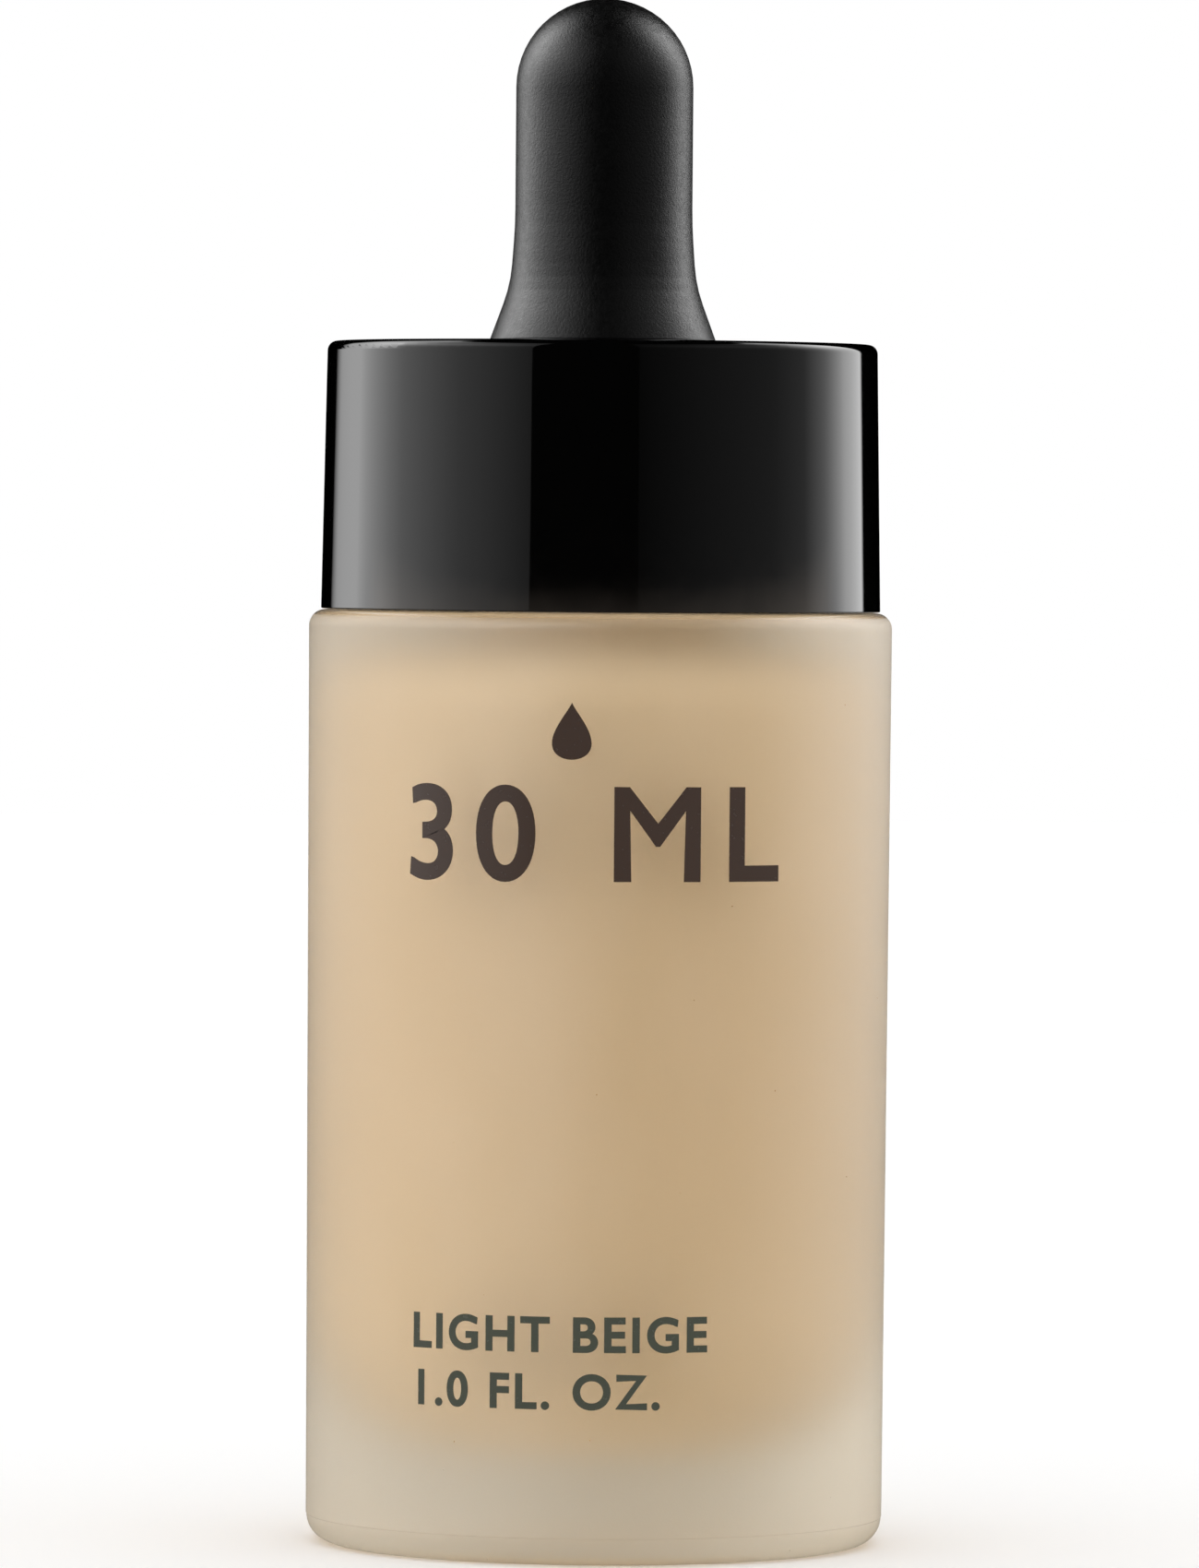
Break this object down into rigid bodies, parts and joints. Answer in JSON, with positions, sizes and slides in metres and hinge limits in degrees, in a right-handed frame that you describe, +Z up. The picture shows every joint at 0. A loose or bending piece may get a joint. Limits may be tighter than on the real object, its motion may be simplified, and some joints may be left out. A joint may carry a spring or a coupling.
{
  "type": "foundation bottle",
  "caption": "Frosted glass bottle for liquid foundation, with a tall gloss black screw cap that carries a glass pipette and a black rubber bulb.",
  "frame": {"origin": "centre of the base, on the surface that the bottle stands on", "axes": "+Z up along the bottle's axis, -Y towards the printed front, +X to the viewer's right"},
  "size_m": [0.0364, 0.0364, 0.0966],
  "materials": {
    "frosted_glass": "acid-frosted outside, clear inside",
    "foundation": "opaque beige liquid",
    "soft_plastic": "natural polyethylene",
    "clear_glass": "clear",
    "black_rubber": "satin, fine grain",
    "black_plastic": "moulded, satin",
    "gloss_black": "high gloss"
  },
  "bodies": {
    "bottle": {"glass_bottle": "frosted_glass", "foundation_liquid": "foundation", "neck_wiper": "soft_plastic"},
    "dropper": {"glass_pipette": "clear_glass", "drawn_liquid": "foundation", "sealing_gasket": "soft_plastic"},
    "bulb": {"rubber_bulb": "black_rubber"},
    "cap": {"inner_cap": "black_plastic", "overshell": "gloss_black"}
  },
  "joints": [
    {"name": "dropper_lift", "type": "slide", "parent": "bottle", "child": "dropper", "axis": [0, 0, 1], "range_m": [0, 0.075]},
    {"name": "cap_turn", "type": "hinge", "parent": "dropper", "child": "cap", "pos_m": [0, 0, 0.0751], "axis": [0, 0, 1], "range_deg": [0, 450]},
    {"name": "bulb_squeeze", "type": "slide", "parent": "dropper", "child": "bulb", "axis": [0, 0, -1], "range_m": [0, 0.004], "stiffness_N_per_m": 800, "deforming": ["rubber_bulb"]}
  ]
}
